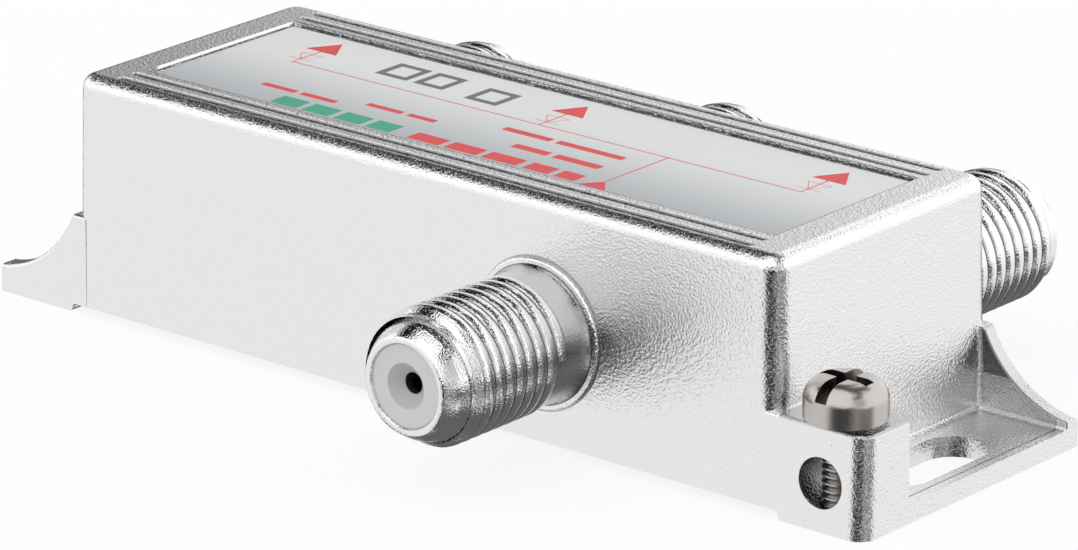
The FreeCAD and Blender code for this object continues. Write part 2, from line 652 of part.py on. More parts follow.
def choke(x, y):
    """Wound drum choke lying along X under the board."""
    half = CHOKE_LENGTH / 2
    flange = half - CHOKE_FLANGE
    z = BOARD_BOTTOM_Z - CHOKE_R
    drum = Part.makeCylinder(CHOKE_CORE_R, CHOKE_LENGTH, V(x - half, y, z), V(1, 0, 0))
    for start in (-half, flange):
        drum = drum.fuse(Part.makeCylinder(CHOKE_R, CHOKE_FLANGE, V(x + start, y, z), V(1, 0, 0)))
    coil_r = (CHOKE_R + CHOKE_CORE_R) / 2
    drum = drum.fuse(Part.makeCylinder(coil_r, 2 * flange, V(x - flange, y, z), V(1, 0, 0)))
    return drum.removeSplitter()


def under_board(place):
    """X and Y of one of the places under the board."""
    first, second, step, side, inwards = place
    return (PORT_XS[first] + PORT_XS[second]) / 2 + step, side * (CAVITY_Y - inwards)


def board_parts():
    """Everything that is soldered to the board, by name."""
    parts = {}
    for i, place in enumerate(CORE_PLACES):
        x, y = under_board(place)
        parts["splitter_core_%d" % (i + 1)] = ferrite_core(x, y)
        parts["splitter_winding_%d" % (i + 1)] = winding(x, y)
    for name, x, z, side in PORTS:
        parts[name + "_capacitor"] = chip(x, side * (TAIL_REACH - CHIP_FROM_TAIL), CHIP_SIZE[2])
    for i, place in enumerate(RESISTOR_PLACES):
        x, y = under_board(place)
        parts["balance_resistor_%d" % (i + 1)] = chip(x, y, RESISTOR_HEIGHT, True)
    for i, x in enumerate(OUTPUT_XS):
        parts["supply_diode_%d" % (i + 1)] = diode(x, DIODE_Y)
    for i, place in enumerate(CHOKE_PLACES):
        x, y = under_board(place)
        parts["supply_choke_%d" % (i + 1)] = choke(x, y)
    return parts


def build():
    """All pieces of the splitter, by node name."""
    parts = {"housing": housing(), "bottom_cover": bottom_cover(), "label": label(),
             "earth_screw": earth_screw(), "circuit_board": circuit_board()}
    for name, x, z, side in PORTS:
        parts[name + "_socket"] = at_port(socket(z), x, z, side)
        parts[name + "_insulator"] = at_port(front_insulator(), x, z, side)
        parts[name + "_rear_insulator"] = at_port(rear_insulator(), x, z, side)
        parts[name + "_contact"] = at_port(contact(z), x, z, side)
    parts.update(board_parts())
    return parts


os.makedirs("parts", exist_ok=True)
for node, shape in build().items():
    shape.exportStep("parts/%s.step" % node)
    print(node, "solids", len(shape.Solids), "valid", shape.isValid(), "volume", round(shape.Volume, 2))
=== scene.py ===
"""Looks of the coaxial splitter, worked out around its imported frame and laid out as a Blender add-on."""

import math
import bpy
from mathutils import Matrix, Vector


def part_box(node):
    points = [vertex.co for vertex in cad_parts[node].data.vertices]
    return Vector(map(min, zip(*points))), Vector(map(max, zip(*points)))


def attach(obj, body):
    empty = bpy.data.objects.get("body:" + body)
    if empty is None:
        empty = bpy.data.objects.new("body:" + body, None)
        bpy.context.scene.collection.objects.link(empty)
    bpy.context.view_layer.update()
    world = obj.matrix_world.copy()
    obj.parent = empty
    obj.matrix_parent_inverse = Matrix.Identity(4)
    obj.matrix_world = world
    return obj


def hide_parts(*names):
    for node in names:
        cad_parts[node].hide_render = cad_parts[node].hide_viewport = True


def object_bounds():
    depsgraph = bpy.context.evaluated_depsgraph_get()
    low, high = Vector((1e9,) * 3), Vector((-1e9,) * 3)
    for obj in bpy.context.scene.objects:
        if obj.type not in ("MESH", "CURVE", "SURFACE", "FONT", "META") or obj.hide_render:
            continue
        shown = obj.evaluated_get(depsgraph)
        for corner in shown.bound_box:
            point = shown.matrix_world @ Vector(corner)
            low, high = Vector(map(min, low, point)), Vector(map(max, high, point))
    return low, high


bl_info = {
    "name": "Coaxial splitter",
    "version": (1, 0, 0),
    "blender": (4, 5, 0),
    "location": "3D View > Sidebar > Splitter",
    "description": "Dresses the packed coaxial splitter: casting, threaded sockets, screw and printed label",
    "category": "Add Mesh",
}

import bmesh
import bpy
import numpy as np
from bpy.props import FloatProperty, FloatVectorProperty, IntProperty, PointerProperty
from bpy.types import Operator, Panel, PropertyGroup
from mathutils import Matrix, Vector

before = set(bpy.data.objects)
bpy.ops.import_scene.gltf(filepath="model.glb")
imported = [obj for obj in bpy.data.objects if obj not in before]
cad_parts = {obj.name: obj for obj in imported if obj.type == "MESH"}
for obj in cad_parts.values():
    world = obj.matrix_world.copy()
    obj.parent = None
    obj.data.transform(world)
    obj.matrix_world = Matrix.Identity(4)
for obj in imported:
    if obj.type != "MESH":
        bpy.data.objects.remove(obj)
CAD_BOX = [list(corner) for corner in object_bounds()]

MM = 0.001
PORT_NAMES = ("input", "output_1", "output_2", "output_3")
LABEL_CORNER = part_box("label")[1] / MM


# Sizes and colours that a user would change


def length(name, description, default):
    return FloatProperty(name=name, description=description, default=default * MM, unit="LENGTH", precision=5)


def colour(name, description, default):
    return FloatVectorProperty(
        name=name, description=description, default=default, subtype="COLOR", size=3, min=0.0, max=1.0
    )


class SPLITTER_PG_socket(PropertyGroup):
    pitch: length("Pitch", "Distance from one thread ridge to the next", 1.035)
    depth: length("Depth", "Height of a ridge above the thread's root", 0.18)
    ridge_radius: length("Ridge radius", "Radius over the crown of the ridges", 4.7625)
    ridge_end: length("Ridge end", "Nose face to the middle of the ridge where it stops", 10.47)
    turns: FloatProperty(name="Turns", description="Turns of the thread ridge", default=8.6, min=1.0)
    neck_radius: length("Neck radius", "Radius of the neck where the thread stops", 4.58)
    columns: IntProperty(name="Columns", description="Facets round a socket", default=120, min=24)


class SPLITTER_PG_print(PropertyGroup):
    line: length("Line", "Width of the printed lines", 0.13)
    red: colour("Red", "Red of the diagram and the bars", (0.77, 0.065, 0.07))
    teal: colour("Teal", "Teal of the plain bars at the left", (0.05, 0.40, 0.25))
    grey: colour("Grey", "Grey of the three plain frames", (0.16, 0.16, 0.16))
    # The foil darker near the front edge is painted shade
    foil_front: colour("Foil front", "Foil near the front edge", (0.46, 0.485, 0.505))
    foil_back: colour("Foil back", "Foil near the back edge", (0.79, 0.80, 0.80))


class SPLITTER_PG_metal(PropertyGroup):
    # The casting's own colour, and the colour of the shade painted into it in grooves, pockets, along edges and round
    # the bosses
    casting: colour("Casting", "Cast housing outside its painted shade", (0.80, 0.80, 0.80))
    painted_shade: colour("Casting in painted shade", "Painted shade of the casting in grooves, pockets and at edges", (0.20, 0.20, 0.20))
    plating: colour("Plating", "Plated sockets", (0.80, 0.80, 0.80))
    # Painted shade in the threads' roots and at the neck's foot, and a painted dark reflection on the neck
    root: colour("Thread root", "Painted shade in the thread's root and on the neck", (0.10, 0.10, 0.10))
    screw: colour("Screw", "Earth screw", (0.52, 0.49, 0.47))
    # Painted shade inside the screw's slot and cross
    slot: colour("Screw slot", "Painted shade of the earth screw inside its slot and cross", (0.24, 0.22, 0.21))
    peel: length("Peel", "Depth of the casting's orange peel", 0.052)
    peel_cell: length("Peel cell", "Size of one dimple of the casting's peel", 0.18)


class SPLITTER_PG_studio(PropertyGroup):
    floor_level: FloatProperty(name="Floor level", description="Brightness below the horizon", default=0.98, min=0.0)
    wall_level: FloatProperty(name="Wall level", description="Brightness of the walls above", default=1.25, min=0.0)
    lamp: FloatProperty(name="Lamp", description="Strength of the soft lamp overhead", default=0.5, min=0.0)
    lens: length("Lens", "Focal length of the camera", 216.8)


# Shader maths as Python expressions


class Wire:
    """One output of a node. Python's operators on it add Math nodes."""

    def __init__(self, tree, socket):
        self.tree = tree
        self.socket = socket

    def maths(self, operation, *others):
        node = self.tree.nodes.new("ShaderNodeMath")
        node.operation = operation
        for socket, value in zip(node.inputs, (self, *others)):
            put(self.tree, socket, value)
        return Wire(self.tree, node.outputs[0])

    def __add__(self, other):
        return self.maths("ADD", other)

    def __radd__(self, other):
        return self.maths("ADD", other)

    def __mul__(self, other):
        return self.maths("MULTIPLY", other)

    def __rmul__(self, other):
        return self.maths("MULTIPLY", other)

    def __sub__(self, other):
        return self.maths("SUBTRACT", other)

    def __rsub__(self, other):
        return (self * -1.0).maths("ADD", other)

    def __truediv__(self, other):
        return self.maths("DIVIDE", other)

    def __lt__(self, other):
        return self.maths("LESS_THAN", other)

    def __gt__(self, other):
        return self.maths("GREATER_THAN", other)

    def __abs__(self):
        return self.maths("ABSOLUTE")

    def most(self, other):
        return self.maths("MAXIMUM", other)


def strongest(masks):
    """The largest of several masks at each place."""
    total, *others = masks
    for mask in others:
        total = total.most(mask)
    return total


def put(tree, socket, value):
    """Links a wire to a socket, or sets the socket's own value."""
    if isinstance(value, Wire):
        tree.links.new(value.socket, socket)
    else:
        socket.default_value = value


class Recipe:
    """The nodes of one finish, or of the studio's world."""

    def __init__(self, tree):
        self.tree = tree
        tree.nodes.clear()

    def node(self, kind, settings=None, sockets=None, out=0):
        """Adds a node: its settings first, then the values or links of its sockets. Gives one of its outputs."""
        node = self.tree.nodes.new(kind)
        for key, value in (settings or {}).items():
            setattr(node, key, value)
        for key, value in (sockets or {}).items():
            put(self.tree, node.inputs[key], value)
        return Wire(self.tree, node.outputs[out]) if len(node.outputs) else None

    def place(self):
        """Object coordinates: metres, in the frame of the whole part."""
        return self.node("ShaderNodeTexCoord", out="Object")

    def parts(self, vector):
        """The x, y and z of a vector, as three wires."""
        split = self.tree.nodes.new("ShaderNodeSeparateXYZ")
        put(self.tree, split.inputs[0], vector)
        return [Wire(self.tree, output) for output in split.outputs]

    def noise(self, cell, detail=2.0, vector=None):
        """Soft noise from 0 to 1 whose dimples are about one cell, in metres, across."""
        sockets = {"Vector": vector or self.place(), "Scale": 1.0 / cell, "Detail": detail}
        return self.node("ShaderNodeTexNoise", {"noise_dimensions": "3D"}, sockets)

    def ramp(self, value, low, high):
        """A smooth step: 0 below low and 1 above high."""
        sockets = {"Value": value, "From Min": low, "From Max": high}
        return self.node("ShaderNodeMapRange", {"interpolation_type": "SMOOTHSTEP"}, sockets)

    def blend(self, factor, first, second):
        """Mixes two colours, given as wires or as plain red, green and blue."""
        pair = [c if isinstance(c, Wire) else (*c, 1.0) for c in (first, second)]
        return self.node("ShaderNodeMix", {"data_type": "RGBA"}, {0: factor, 6: pair[0], 7: pair[1]}, out=2)

    def bump(self, height, depth, normal=None):
        """A normal that leans as a surface would whose height of 0 to 1 is depth metres."""
        sockets = {"Distance": depth, "Height": height}
        if normal:
            sockets["Normal"] = normal
        return self.node("ShaderNodeBump", None, sockets)

    def surface(self, **values):
        """Ends the finish in one Principled shader. Underlines in a name stand for spaces."""
        sockets = {key.replace("_", " "): value for key, value in values.items()}
        plain = sockets["Base Color"]
        if not isinstance(plain, Wire):
            sockets["Base Color"] = (*plain, 1.0)
        shader = self.node("ShaderNodeBsdfPrincipled", None, sockets)
        self.node("ShaderNodeOutputMaterial", None, {"Surface": shader})


def finish(name):
    """A new material and its empty recipe."""
    material = bpy.data.materials.new(name)
    material.use_nodes = True
    return material, Recipe(material.node_tree)


def dress(material, *nodes):
    """Gives CAD nodes a material, in every one of their slots."""
    for node in nodes:
        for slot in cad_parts[node].material_slots:
            slot.material = material


# Surfaces of two parameters


# Degrees between two faces past which their edge is sharp
CREASE = 40.0


def shell(grid, wrap_rows=True, wrap_columns=True, capped=False):
    """Faces between the neighbours of a grid of points, as (points, list of faces).

    Face (i, j) has the corners (i, j), (i+1, j), (i+1, j+1) and (i, j+1). Rows or columns that wrap close on
    the first one. Caps are one face over the first row and one over the last. A shell whose signed volume, the
    sum of p0 . (p1 x p2) / 6 over its triangles, is negative is turned round, so that its faces point outwards.
    """
    n, m = grid.shape[:2]
    rows = np.arange(n if wrap_rows else n - 1)
    columns = np.arange(m if wrap_columns else m - 1)
    i, j = np.meshgrid(rows, columns, indexing="ij")
    i_next, j_next = (i + 1) % n, (j + 1) % m
    corners = [i * m + j, i_next * m + j, i_next * m + j_next, i * m + j_next]
    quads = np.stack(corners, -1).reshape(-1, 4)
    points = grid.reshape(-1, 3)
    p0, p1, p2, p3 = (points[quads[:, k]] for k in range(4))
    volume = np.sum(p0 * np.cross(p1, p2)) + np.sum(p0 * np.cross(p2, p3))
    faces = quads.tolist()
    if capped:
        faces += [list(range(m)), list(range(n * m - 1, (n - 1) * m - 1, -1))]
    if volume < 0:
        faces = [face[::-1] for face in faces]
    return points, faces


def piece(name, shells, material, body):
    """One object at the origin out of several shells, shaded smooth but for its sharp edges."""
    points = np.concatenate([shell_points for shell_points, _ in shells])
    faces, start = [], 0
    for shell_points, shell_faces in shells:
        faces += [[corner + start for corner in face] for face in shell_faces]
        start += len(shell_points)
    mesh = bpy.data.meshes.new(name)
    mesh.from_pydata(points.tolist(), [], faces)
    mesh.shade_smooth()
    mesh.set_sharp_from_angle(angle=math.radians(CREASE))
    mesh.materials.append(material)
    thing = bpy.data.objects.new(name, mesh)
    bpy.context.scene.collection.objects.link(thing)
    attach(thing, body)
    return thing


def mark(thing, name, parts):
    """A number for each point of a piece, read by its finish."""
    layer = thing.data.attributes.new(name, "FLOAT", "POINT")
    layer.data.foreach_set("value", np.concatenate([part.ravel() for part in parts]).astype(np.float32))


# The studio


def direction(azimuth, elevation):
    """Unit vector: azimuth from +X towards +Y and elevation above the floor, in degrees."""
    a, e = math.radians(azimuth), math.radians(elevation)
    return (math.cos(a) * math.cos(e), math.sin(a) * math.cos(e), math.sin(e))


# Straight-edged cards of the studio, in degrees: azimuth from and to, softness of each edge, elevation from
# and to, softness of each edge, brightness
CARDS = (
    ((130, 155), (15, 4), (-30, 56), (6, 6), 0.02),
    ((158, 172), (3, 5), (3, 32), (5, 4), 0.70),
    ((118, 168), (5, 4), (40, 80), (4, 5), 0.01),
    ((160, 212), (5, 8), (36, 64), (3, 3), 0.01),
    ((94, 128), (8, 6), (-34, -6), (5, 5), 0.08),
    ((56, 104), (5, 6), (50, 70), (3, 4), 0.03),
    ((-32, 2), (8, 3), (7, 40), (4, 4), 0.66),
    ((-97, -22), (10, 30), (-30, 5), (5, 4), 0.03),
    ((-20, 22), (6, 6), (-30, -7), (5, 3), 0.17),
)
# Round cards: azimuth, elevation, radius, softness, brightness
ROUND_CARDS = (
    (125, 75, 11, 4, 0.05),
    (85, 79, 10, 4, 0.07),
    (50, 77, 10, 4, 0.07),
    (20, 66, 10, 4, 0.05),
    (-4, 52, 9, 3, 0.06),
    (-20, 49, 8, 3, 0.06),
    (146, 61, 9, 4, 0.04),
)
# The dark below the object: elevation of its edge, softness, brightness, and the azimuths where it fades out
LOW_EDGE, LOW_SOFT, LOW_LEVEL = -34, 5, 0.14
LOW_SPAN = ((-105, 205), (10, 10))
# A bright round card that lies over all the others
GLINT = (-8, -38, 7, 3, 1.05)
# Elevation of the horizon in front of the object and to its right, how soft it is, and the azimuths between which
# the right one comes in and goes out again
HORIZON_FRONT, HORIZON_RIGHT, HORIZON_SOFT = 0, -11, 5
HORIZON_IN, HORIZON_OUT = (-60, 30), (100, 180)
# Azimuths are counted from here, so that no card crosses the seam
SEAM = -120


def studio_level(recipe, below, above):
    """Brightness of the studio by direction: a pale floor, brighter walls above it, and dark and grey cards.

    A card's mask is a product of smooth steps of the azimuth and elevation, in degrees, or one smooth step of the
    angle to the card's middle. Each one in turn mixes its value over what is there: level + mask * (value - level).
    """
    where = recipe.node("ShaderNodeTexCoord", out="Generated")
    x, y, z = recipe.parts(where)
    degrees = 180 / math.pi
    turn = y.maths("ARCTAN2", x) * degrees
    turn = turn + (turn < SEAM) * 360
    rise = z.maths("ARCSINE") * degrees

    def span(value, ends, softs):
        up = recipe.ramp(value, ends[0] - softs[0], ends[0] + softs[0])
        return up * (1 - recipe.ramp(value, ends[1] - softs[1], ends[1] + softs[1]))

    def disc(azimuth, elevation, radius, soft):
        sockets = {0: where, 1: direction(azimuth, elevation)}
        dot = recipe.node("ShaderNodeVectorMath", {"operation": "DOT_PRODUCT"}, sockets, out="Value")
        return 1 - recipe.ramp(dot.maths("ARCCOSINE") * degrees, radius - soft, radius + soft)

    def over(level, mask, value):
        return level + mask * (value - level)

    right = recipe.ramp(turn, *HORIZON_IN) * (1 - recipe.ramp(turn, *HORIZON_OUT))
    past_horizon = rise - (right * (HORIZON_RIGHT - HORIZON_FRONT) + HORIZON_FRONT)
    level = recipe.ramp(past_horizon, -HORIZON_SOFT, HORIZON_SOFT) * (above - below) + below
    for azimuths, azimuth_softs, elevations, elevation_softs, value in CARDS:
        mask = span(turn, azimuths, azimuth_softs) * span(rise, elevations, elevation_softs)
        level = over(level, mask, value)
    for azimuth, elevation, radius, soft, value in ROUND_CARDS:
        level = over(level, disc(azimuth, elevation, radius, soft), value)
    low = 1 - recipe.ramp(rise, LOW_EDGE - LOW_SOFT, LOW_EDGE + LOW_SOFT)
    level = over(level, low * span(turn, *LOW_SPAN), LOW_LEVEL)
    return over(level, disc(*GLINT[:4]), GLINT[4])


# Camera: metres, degrees, and a shift in pixels of the photograph's frame
CAMERA_PLACE = Vector((0.27075, -0.32086, 0.15208))
CAMERA_AZIMUTH, CAMERA_ELEVATION = 40.017, 19.109
SENSOR = 36.0
NEAR_CLIP = 0.01
IMAGE_WIDTH = 1078
SHIFT_PIXELS = (2.1, -0.4)
# Lamp and floor: metres, and the share and strength of the floor's own white in the camera's rays
LAMP_PLACE, LAMP_WIDTH = (-0.1, -0.1, 0.7), 0.8
FLOOR_HALF = 0.6
FLOOR_DROP = 0.00002
FLOOR_PAPER = 0.9
GLOW_SHARE, GLOW_STRENGTH = 0.85, 1.02


class SPLITTER_OT_stage(Operator):
    """Camera at the photograph's angle, the white studio, its soft lamp and the pale floor"""

    bl_idname = "splitter.stage"
    bl_label = "Stage"

    def execute(self, context):
        scene = context.scene
        studio = scene.splitter_studio
        scene.view_settings.view_transform = "Standard"
        a, e = math.radians(CAMERA_AZIMUTH), math.radians(CAMERA_ELEVATION)
        ahead = Vector((-math.sin(a) * math.cos(e), math.cos(a) * math.cos(e), -math.sin(e)))
        right = Vector((math.cos(a), math.sin(a), 0.0))
        up = right.cross(ahead)
        data = bpy.data.cameras.new("camera")
        data.lens = studio.lens / MM
        data.sensor_width = SENSOR
        data.shift_x, data.shift_y = [pixels / IMAGE_WIDTH for pixels in SHIFT_PIXELS]
        data.clip_start = NEAR_CLIP
        camera = bpy.data.objects.new("camera", data)
        turn = Matrix((right, up, -ahead)).transposed().to_4x4()
        camera.matrix_world = Matrix.Translation(CAMERA_PLACE) @ turn
        scene.collection.objects.link(camera)
        scene.camera = camera

        world = bpy.data.worlds.new("studio")
        world.use_nodes = True
        scene.world = world
        recipe = Recipe(world.node_tree)
        seen = recipe.node("ShaderNodeLightPath", out="Is Camera Ray")
        walls = studio_level(recipe, studio.floor_level, studio.wall_level)
        white = walls + seen * (1 - walls)
        shader = recipe.node("ShaderNodeBackground", None, {"Color": white, "Strength": 1.0})
        recipe.node("ShaderNodeOutputWorld", None, {"Surface": shader})

        lamp_data = bpy.data.lights.new("soft_lamp", "AREA")
        lamp_data.size = LAMP_WIDTH
        lamp_data.energy = studio.lamp
        lamp = bpy.data.objects.new("soft_lamp", lamp_data)
        lamp.location = LAMP_PLACE
        lamp.visible_glossy = False
        scene.collection.objects.link(lamp)

        material, recipe = finish("pale_floor")
        seen = recipe.node("ShaderNodeLightPath", out="Is Camera Ray")
        paper = recipe.node("ShaderNodeBsdfDiffuse", None, {"Color": (*[FLOOR_PAPER] * 3, 1.0)})
        bright = {"Color": (1.0, 1.0, 1.0, 1.0), "Strength": GLOW_STRENGTH}
        glow = recipe.node("ShaderNodeEmission", None, bright)
        both = recipe.node("ShaderNodeMixShader", None, {0: seen * GLOW_SHARE, 1: paper, 2: glow})
        recipe.node("ShaderNodeOutputMaterial", None, {"Surface": both})
        corners = np.array([(-1, -1), (1, -1), (1, 1), (-1, 1)]) * FLOOR_HALF
        mesh = bpy.data.meshes.new("floor")
        mesh.from_pydata([(x, y, -FLOOR_DROP) for x, y in corners.tolist()], [], [(0, 1, 2, 3)])
        mesh.materials.append(material)
        floor = bpy.data.objects.new("floor", mesh)
        floor.visible_glossy = False
        scene.collection.objects.link(floor)
        return {"FINISHED"}


# The casting


# Where shade is painted into the casting's colour, in millimetres. Depths are counted from the top face.
GROOVE_Y, GROOVE_HALF, GROOVE_END = (8.70, 10.05), 0.4, 28.2
GROOVE_FROM, GROOVE_DEEP, GROOVE_TO = 0.04, 0.12, 0.35
RECESS = (27.8, 7.7)
RIM_HALF, RIM_DEPTH, RIM_LEFT = 0.06, 0.05, -27.6
EAR_X, EAR_Z, SHOULDER_Z = 30.2, 7.0, 7.25
# Pocket of an ear: beyond the box's end, within the side walls, behind the block, and down to the lip, which is the
# line along the ear's end where its floor begins
POCKET_X, POCKET_Y, BLOCK_Y, LIP_X, LIP_HALF, FLOOR_Z = 31.36, 10.43, -7.1, 37.7, 0.06, 1.55
# Crest and inner edge of the ears' back walls
CREST_Y, CREST_Z = 11.6, 2.02
EDGE_Y, EDGE_HALF = 10.48, 0.11
WIRE_HOLE_X, WIRE_HOLE_Z, WIRE_HOLE_R, WIRE_HOLE_Y = 34.85, 3.35, 1.8, (-11.6, -6.8)
BOSS_RING, RING_HALF, RING_Y = 5.31, 0.06, 11.3
# How dark the painted shade of each mask is: the grooves' sides, their floors more so, the pockets' walls and floors,
# and the rest
GROOVE_SHADE, GROOVE_FLOOR_EXTRA_SHADE = 0.7, 0.3
POCKET_WALL_SHADE, POCKET_FLOOR_SHADE_STEP = 0.45, -0.35
CREST_SHADE, SHOULDER_SHADE, RIM_SHADE, RING_SHADE = 0.3, 0.5, 0.8, 0.5
# The faint step where the ears meet the box, and the recess's left wall
JOINT_X, JOINT_HALF, JOINT_Y, JOINT_Z, DRAFT = 30.0, 0.25, 11.4, 7.3, 1.0
WALL_X, WALL_HALF, WALL_Y, WALL_DEPTHS, WALL_LEAN = -27.8, 0.15, 7.6, (0.02, 0.26), (0.8, 0.0, 0.6)


class SPLITTER_OT_casting(Operator):
    """Die-cast finish of the housing, with fine orange peel, and shade painted into its colour in the grooves, the
    ears' pockets, along edges and round the bosses' feet
    """

    bl_idname = "splitter.casting"
    bl_label = "Casting"

    def execute(self, context):
        metal = context.scene.splitter_metal
        material, recipe = finish("bare_casting")
        x, y, z = [axis / MM for axis in recipe.parts(recipe.place())]
        top = CAD_BOX[1][2] / MM
        peel = recipe.noise(metal.peel_cell)
        smear = recipe.noise(6 * MM, 1.0)
        recipe.surface(
            # Painted shade: the casting darkened in grooves, pockets, lips, rims, the wire hole and round the bosses'
            # feet
            Base_Color=recipe.blend(self.painted_shade(x, y, z, top), tuple(metal.casting), tuple(metal.painted_shade)),
            Metallic=1.0,
            Roughness=smear * 0.05 + 0.06,
            Normal=recipe.bump(peel, metal.peel, normal=self.facing(recipe, x, y, z, top)),
        )
        dress(material, "housing")
        return {"FINISHED"}

    def painted_shade(self, x, y, z, top):
        """How much painted shade darkens the casting at a place: the strongest of the masks of all the shaded spots.

        Each mask is a product of comparisons, such as abs(x) > ear's x, times how dark that spot's painted shade is.
        """
        grooves = strongest([abs(abs(y) - middle) < GROOVE_HALF for middle in GROOVE_Y])
        grooves = grooves * (abs(x) < GROOVE_END) * (z < top - GROOVE_FROM) * (z > top - GROOVE_TO)
        grooves = grooves * ((z < top - GROOVE_DEEP) * GROOVE_FLOOR_EXTRA_SHADE + GROOVE_SHADE)
        past = (abs(x) - RECESS[0]).most(abs(y) - RECESS[1])
        rim = (abs(past - RIM_HALF / 2) < RIM_HALF) * (z > top - RIM_DEPTH) * (x > RIM_LEFT) * RIM_SHADE
        shoulder = (abs(x) > POCKET_X) * (z > EAR_Z) * (z < SHOULDER_Z) * SHOULDER_SHADE
        across, up = x - WIRE_HOLE_X, z - WIRE_HOLE_Z
        hole = (across * across + up * up < WIRE_HOLE_R**2) * (y > WIRE_HOLE_Y[0]) * (y < WIRE_HOLE_Y[1])
        rings = [self.ring(name, x, y, z) for name in PORT_NAMES]
        return strongest([grooves, self.ears(x, y, z), rim, shoulder, hole, *rings])

    def ears(self, x, y, z):
        """Painted shade on the pockets' walls and floors, the lips, and the crests and inner edges of the back walls.
        """
        ear = (abs(x) > EAR_X) * (z < EAR_Z)
        inside = (abs(x) > POCKET_X) * (abs(y) < POCKET_Y) * (y > BLOCK_Y)
        low = z < FLOOR_Z
        pockets = inside * (abs(x) < LIP_X) * (low * POCKET_FLOOR_SHADE_STEP + POCKET_WALL_SHADE)
        lips = inside * low * (abs(abs(x) - LIP_X) < LIP_HALF)
        crests = (y > POCKET_Y) * (y < CREST_Y) * (z > CREST_Z) * CREST_SHADE
        edges = (abs(y - EDGE_Y) < EDGE_HALF) * (z > FLOOR_Z)
        return ear * strongest([pockets, lips, crests, edges])

    def ring(self, name, x, y, z):
        """Painted shade round the foot of a socket's boss: a ring by the distance to the socket's axis."""
        nose, out, _, _ = port_frame(name + "_socket")
        across, up = x - nose[0] / MM, z - nose[2] / MM
        away = (across * across + up * up).maths("SQRT")
        return (abs(away - BOSS_RING) < RING_HALF) * (y * out[1] > RING_Y) * RING_SHADE

    def facing(self, recipe, x, y, z, top):
        """The normal, evened out where the ears meet the box, and leaning up on the recess's left wall."""
        own = recipe.node("ShaderNodeNewGeometry", out="Normal")
        side = recipe.node("ShaderNodeCombineXYZ", None, {1: y.maths("SIGN"), 2: math.tan(math.radians(DRAFT))})
        joint = (abs(abs(x) - JOINT_X) < JOINT_HALF) * (abs(y) > JOINT_Y) * (z < JOINT_Z)
        even = recipe.node("ShaderNodeMix", {"data_type": "VECTOR"}, {0: joint, 4: own, 5: side}, out=1)
        wall = (abs(x - WALL_X) < WALL_HALF) * (abs(y) < WALL_Y)
        wall = wall * (z < top - WALL_DEPTHS[0]) * (z > top - WALL_DEPTHS[1])
        return recipe.node("ShaderNodeMix", {"data_type": "VECTOR"}, {0: wall, 4: even, 5: WALL_LEAN}, out=1)


# The sockets


def port_frame(node):
    """Middle of a socket's nose, and its directions out, across and up, from the CAD node's box."""
    low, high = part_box(node)
    front = low.y < -high.y
    side = -1.0 if front else 1.0
    nose = np.array(((low.x + high.x) / 2, low.y if front else high.y, (low.z + high.z) / 2))
    out = np.array((0.0, side, 0.0))
    across = np.array((-side, 0.0, 0.0))
    return nose, out, across, np.array((0.0, 0.0, 1.0))


def turned(port, behind, radius, angle):
    """Point grid: behind metres back from the nose and at a radius and angle round the axis."""
    nose, out, across, up = port
    ring = np.cos(angle)[..., None] * across + np.sin(angle)[..., None] * up
    return nose - behind[..., None] * out + radius[..., None] * ring


# Profile of a socket in millimetres: distance behind the nose, and radius
NOSE_PROFILE = (
    (0.12, 2.85),
    (0.0, 2.94),
    (0.0, 3.30),
    (0.05, 3.37),
    (0.50, 3.64),
    (0.95, 3.93),
    (1.05, 3.97),
    (1.50, 4.13),
    (1.90, 4.28),
    (1.98, 4.32),
    (2.20, 4.43),
)
# From the neck to the boss, and the end inside the housing
BACK_PROFILE = ((12.2, 4.60), (12.8, 4.68), (13.02, 4.78), (13.11, 4.86), (13.53, 4.86))
REAR_PROFILE = ((13.53, 4.10), (15.5, 4.10), (15.5, 2.85))
# Where the chamfer of the thread starts, as in the profile, and its rise in radius over distance
CHAMFER_FROM, CHAMFER_SLOPE = (1.95, 4.36), 0.75
# Points across the ridge, the power of its rounding, and how far its foot and the chamfer's foot lie in the core
RIDGE_POINTS, RIDGE_POWER, RIDGE_FOOT, CHAMFER_FOOT = 15, 2.2, 0.15, 0.1
# The core's root: how far it stands in front of the ridge's foot, where it starts, and the neck's step as a part of
# the pitch past the ridge's end
ROOT_RISE, ROOT_ROWS, STEP_WIDTH, STEP_AT = 0.02, (2.4, 3.1), 0.02, 0.37
# Painted shade across the ridge, darkest at its root: a power of the way from its crown, coming in behind the nose
ROOT_SHADE_POWER, ROOT_SHADE_FROM, ROOT_SHADE_FADE = 10.0, 2.52, 0.6
# Painted shade on the thread's root and its end, painted dark reflection on the neck, and painted shade on the neck's
# foot, point by point of their profile
THREAD_SHADE_TONES = (1.0, 1.0, 0.33)
BACK_SHADE_TONES = (0.33, 0.35, 0.5, 1.0, 1.0)


